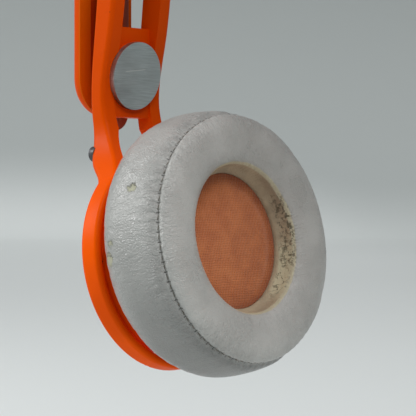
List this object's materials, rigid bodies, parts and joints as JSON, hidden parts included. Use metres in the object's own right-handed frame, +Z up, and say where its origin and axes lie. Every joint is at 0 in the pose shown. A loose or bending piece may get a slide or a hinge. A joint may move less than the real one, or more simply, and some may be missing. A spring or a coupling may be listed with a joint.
{
  "type": "on-ear headphones",
  "caption": "On-ear headphones: an orange sprung headband, sliding fork arms with swivelling rings, and tilting cups with white leatherette cushions over speaker cloth.",
  "frame": {"origin": "middle of the crown pad's underside, where the headband rests on the head", "axes": "+X from the wearer's left ear to the right ear, +Y to the wearer's back, +Z up"},
  "size_m": [0.2014, 0.073, 0.1867],
  "materials": {
    "orange_shell": "satin gloss",
    "orange_inner": "satin",
    "brushed_steel": "brushed",
    "dark_screw": "satin",
    "spring_steel": "satin",
    "bush_brass": "satin",
    "nylon": "matte",
    "inner_plastic": "matte",
    "white_leather": "soft grain",
    "pad_rubber": "matte",
    "speaker_cloth": "fine weave",
    "foam": "open cell",
    "magnet": "satin",
    "film": "thin film",
    "board": "satin",
    "lead": "matte"
  },
  "bodies": {
    "headband": {"headband_outer_shell": "orange_shell", "spring_band": "spring_steel", "headband_inner_shell": "orange_inner", "crossover_lead": "lead", "crown_pad": "pad_rubber", "track_plate_left": "orange_inner", "track_screws_left": "dark_screw", "track_plate_right": "orange_inner", "track_screws_right": "dark_screw"},
    "slider_left": {"slider_carriage_left": "nylon", "detent_spring_left": "spring_steel", "slider_strip_left": "brushed_steel", "strip_screws_left": "dark_screw", "swivel_axle_left": "spring_steel", "pivot_washer_left": "nylon"},
    "fork_left": {"fork_arm_left": "orange_shell", "neck_screws_left": "dark_screw", "hinge_disc_left": "brushed_steel", "pivot_bush_left": "bush_brass"},
    "cup_left": {"cup_shell_left": "orange_shell", "outer_cap_left": "brushed_steel", "pivot_pins_left": "spring_steel", "audio_jack_left": "inner_plastic", "baffle_screws_left": "dark_screw", "baffle_left": "inner_plastic", "circuit_board_left": "board", "driver_grille_left": "inner_plastic", "driver_foam_left": "foam", "speaker_cloth_left": "speaker_cloth", "driver_frame_left": "inner_plastic", "driver_magnet_left": "magnet", "diaphragm_left": "film", "cushion_plate_left": "orange_inner", "cushion_left": "white_leather"},
    "slider_right": {"slider_carriage_right": "nylon", "detent_spring_right": "spring_steel", "slider_strip_right": "brushed_steel", "strip_screws_right": "dark_screw", "swivel_axle_right": "spring_steel", "pivot_washer_right": "nylon"},
    "fork_right": {"fork_arm_right": "orange_shell", "neck_screws_right": "dark_screw", "hinge_disc_right": "brushed_steel", "pivot_bush_right": "bush_brass"},
    "cup_right": {"cup_shell_right": "orange_shell", "outer_cap_right": "brushed_steel", "pivot_pins_right": "spring_steel", "audio_jack_right": "inner_plastic", "baffle_screws_right": "dark_screw", "baffle_right": "inner_plastic", "circuit_board_right": "board", "driver_grille_right": "inner_plastic", "driver_foam_right": "foam", "speaker_cloth_right": "speaker_cloth", "driver_frame_right": "inner_plastic", "driver_magnet_right": "magnet", "diaphragm_right": "film", "cushion_plate_right": "orange_inner", "cushion_right": "white_leather"}
  },
  "joints": [
    {"name": "size_slide_left", "type": "slide", "parent": "headband", "child": "slider_left", "axis": [0, 0, -1], "range_m": [0, 0.018]},
    {"name": "fork_swivel_left", "type": "hinge", "parent": "slider_left", "child": "fork_left", "pos_m": [-0.084, 0, -0.093], "axis": [1, 0, 0], "range_deg": [-90, 90]},
    {"name": "cup_tilt_left", "type": "hinge", "parent": "fork_left", "child": "cup_left", "pos_m": [-0.073, 0, -0.1455], "axis": [0, 1, 0], "range_deg": [-5, 5]},
    {"name": "size_slide_right", "type": "slide", "parent": "headband", "child": "slider_right", "axis": [0, 0, -1], "range_m": [0, 0.018]},
    {"name": "fork_swivel_right", "type": "hinge", "parent": "slider_right", "child": "fork_right", "pos_m": [0.084, 0, -0.093], "axis": [1, 0, 0], "range_deg": [-90, 90]},
    {"name": "cup_tilt_right", "type": "hinge", "parent": "fork_right", "child": "cup_right", "pos_m": [0.073, 0, -0.1455], "axis": [0, 1, 0], "range_deg": [-5, 5]}
  ]
}
